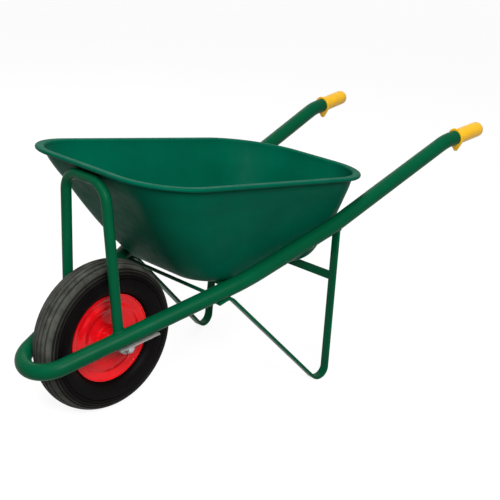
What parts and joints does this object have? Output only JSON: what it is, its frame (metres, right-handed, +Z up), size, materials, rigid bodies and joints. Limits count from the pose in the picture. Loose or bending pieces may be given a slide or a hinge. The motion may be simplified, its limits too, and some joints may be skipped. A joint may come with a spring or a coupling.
{
  "type": "wheelbarrow",
  "caption": "Single-wheel garden wheelbarrow with a pressed steel tray, a one-piece bent tube frame, flat bar legs, a front hoop and a pneumatic wheel.",
  "frame": {"origin": "on the ground under the middle of the overall box", "axes": "+X from the wheel towards the handles, +Y across towards the side that carries the valve (the right-hand side of someone who walks behind the barrow), +Z up"},
  "size_m": [1.4308, 0.5816, 0.6677],
  "materials": {
    "green_paint": "gloss",
    "tray_paint": "gloss",
    "zinc": "satin",
    "steel": "satin",
    "red_paint": "gloss",
    "tyre_rubber": "matte",
    "tube_rubber": "matte",
    "black_plastic": "matte",
    "yellow_grip": "satin"
  },
  "bodies": {
    "frame": {"frame_tube": "green_paint", "front_hoop": "green_paint", "leg_left": "green_paint", "leg_right": "green_paint", "leg_brace": "green_paint", "strut_tie_rod": "green_paint", "tray_strap": "green_paint", "tray": "tray_paint", "tray_studs": "zinc", "tray_washers": "zinc", "tray_nuts": "zinc", "axle_bracket_left": "zinc", "axle_bracket_right": "zinc", "bracket_screws": "zinc", "axle": "steel", "axle_nuts": "zinc", "axle_washers": "zinc", "axle_spacers": "zinc", "bearing_sleeve": "steel", "bearing_inner_races": "steel", "grip_left": "yellow_grip", "grip_right": "yellow_grip"},
    "wheel": {"wheel_hub": "zinc", "bearing_outer_races": "steel", "bearing_balls": "steel", "rim_barrel": "red_paint", "wheel_disc_left": "red_paint", "wheel_disc_right": "red_paint", "tyre": "tyre_rubber", "inner_tube": "tube_rubber", "valve_stem": "tube_rubber", "valve_cap": "black_plastic"}
  },
  "joints": [
    {"name": "wheel_spin", "type": "hinge", "parent": "frame", "child": "wheel", "pos_m": [-0.47052, 0, 0.2], "axis": [0, 1, 0], "continuous": true}
  ]
}
